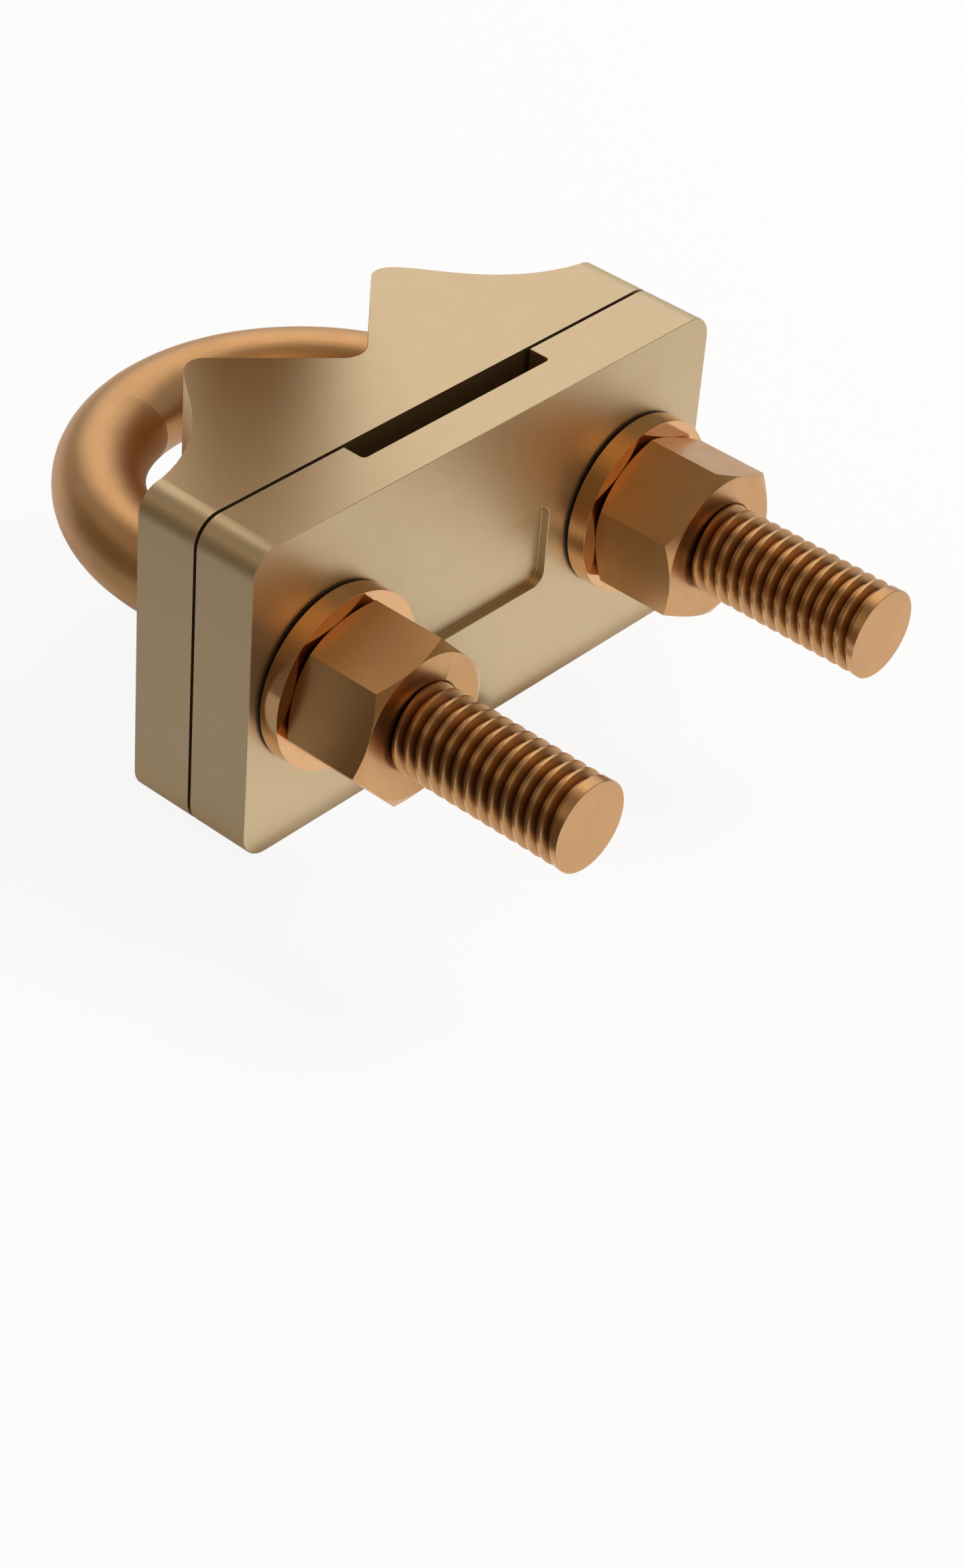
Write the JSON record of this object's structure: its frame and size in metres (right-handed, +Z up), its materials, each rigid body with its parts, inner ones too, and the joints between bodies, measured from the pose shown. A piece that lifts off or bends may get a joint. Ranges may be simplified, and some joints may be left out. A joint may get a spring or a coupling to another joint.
{
  "type": "earth rod clamp",
  "caption": "Earth rod to tape clamp: a U-bolt with nuts and washers draws a V-grooved saddle and a front plate together, gripping a round rod and a flat tape.",
  "frame": {"origin": "middle of the tape channel's floor, in the back of the front plate, at mid-height between the two legs", "axes": "+X from the left leg to the right leg as seen from the nuts, +Y from the nuts towards the V-groove and the bend, +Z up, along the V-groove and the rod that it holds"},
  "size_m": [0.055, 0.0693, 0.0298],
  "materials": {
    "cast_bronze": "satin as-cast gunmetal with crisp edges",
    "drawn_bronze": "smooth drawn and rolled copper-toned bronze",
    "bright_bronze": "bright, nearly mirror-like faces"
  },
  "bodies": {
    "bolt": {"u_bolt": "drawn_bronze"},
    "saddle_casting": {"saddle": "cast_bronze"},
    "plate": {"clamp_plate": "cast_bronze", "washer_left": "bright_bronze", "washer_right": "bright_bronze"},
    "left_nut": {"nut_left": "drawn_bronze"},
    "right_nut": {"nut_right": "drawn_bronze"}
  },
  "joints": [
    {"name": "plate_slide", "type": "slide", "parent": "bolt", "child": "plate", "axis": [0, -1, 0], "range_m": [0, 0.015]},
    {"name": "saddle_slide", "type": "slide", "parent": "bolt", "child": "saddle_casting", "axis": [0, -1, 0], "range_m": [0, 0.00751]},
    {"name": "left_nut_turn", "type": "hinge", "parent": "plate", "child": "left_nut", "pos_m": [-0.0185, -0.00625, 0], "axis": [0, -1, 0], "range_deg": [0, 4321]},
    {"name": "right_nut_turn", "type": "hinge", "parent": "plate", "child": "right_nut", "pos_m": [0.0185, -0.00625, 0], "axis": [0, -1, 0], "range_deg": [0, 4321]}
  ],
  "couplings": [
    {"joint": "left_nut_turn", "follows": "plate_slide", "rad_per_m": 5026.5},
    {"joint": "right_nut_turn", "follows": "plate_slide", "rad_per_m": 5026.5},
    {"joint": "saddle_slide", "follows": "plate_slide", "ratio": 0.5}
  ]
}
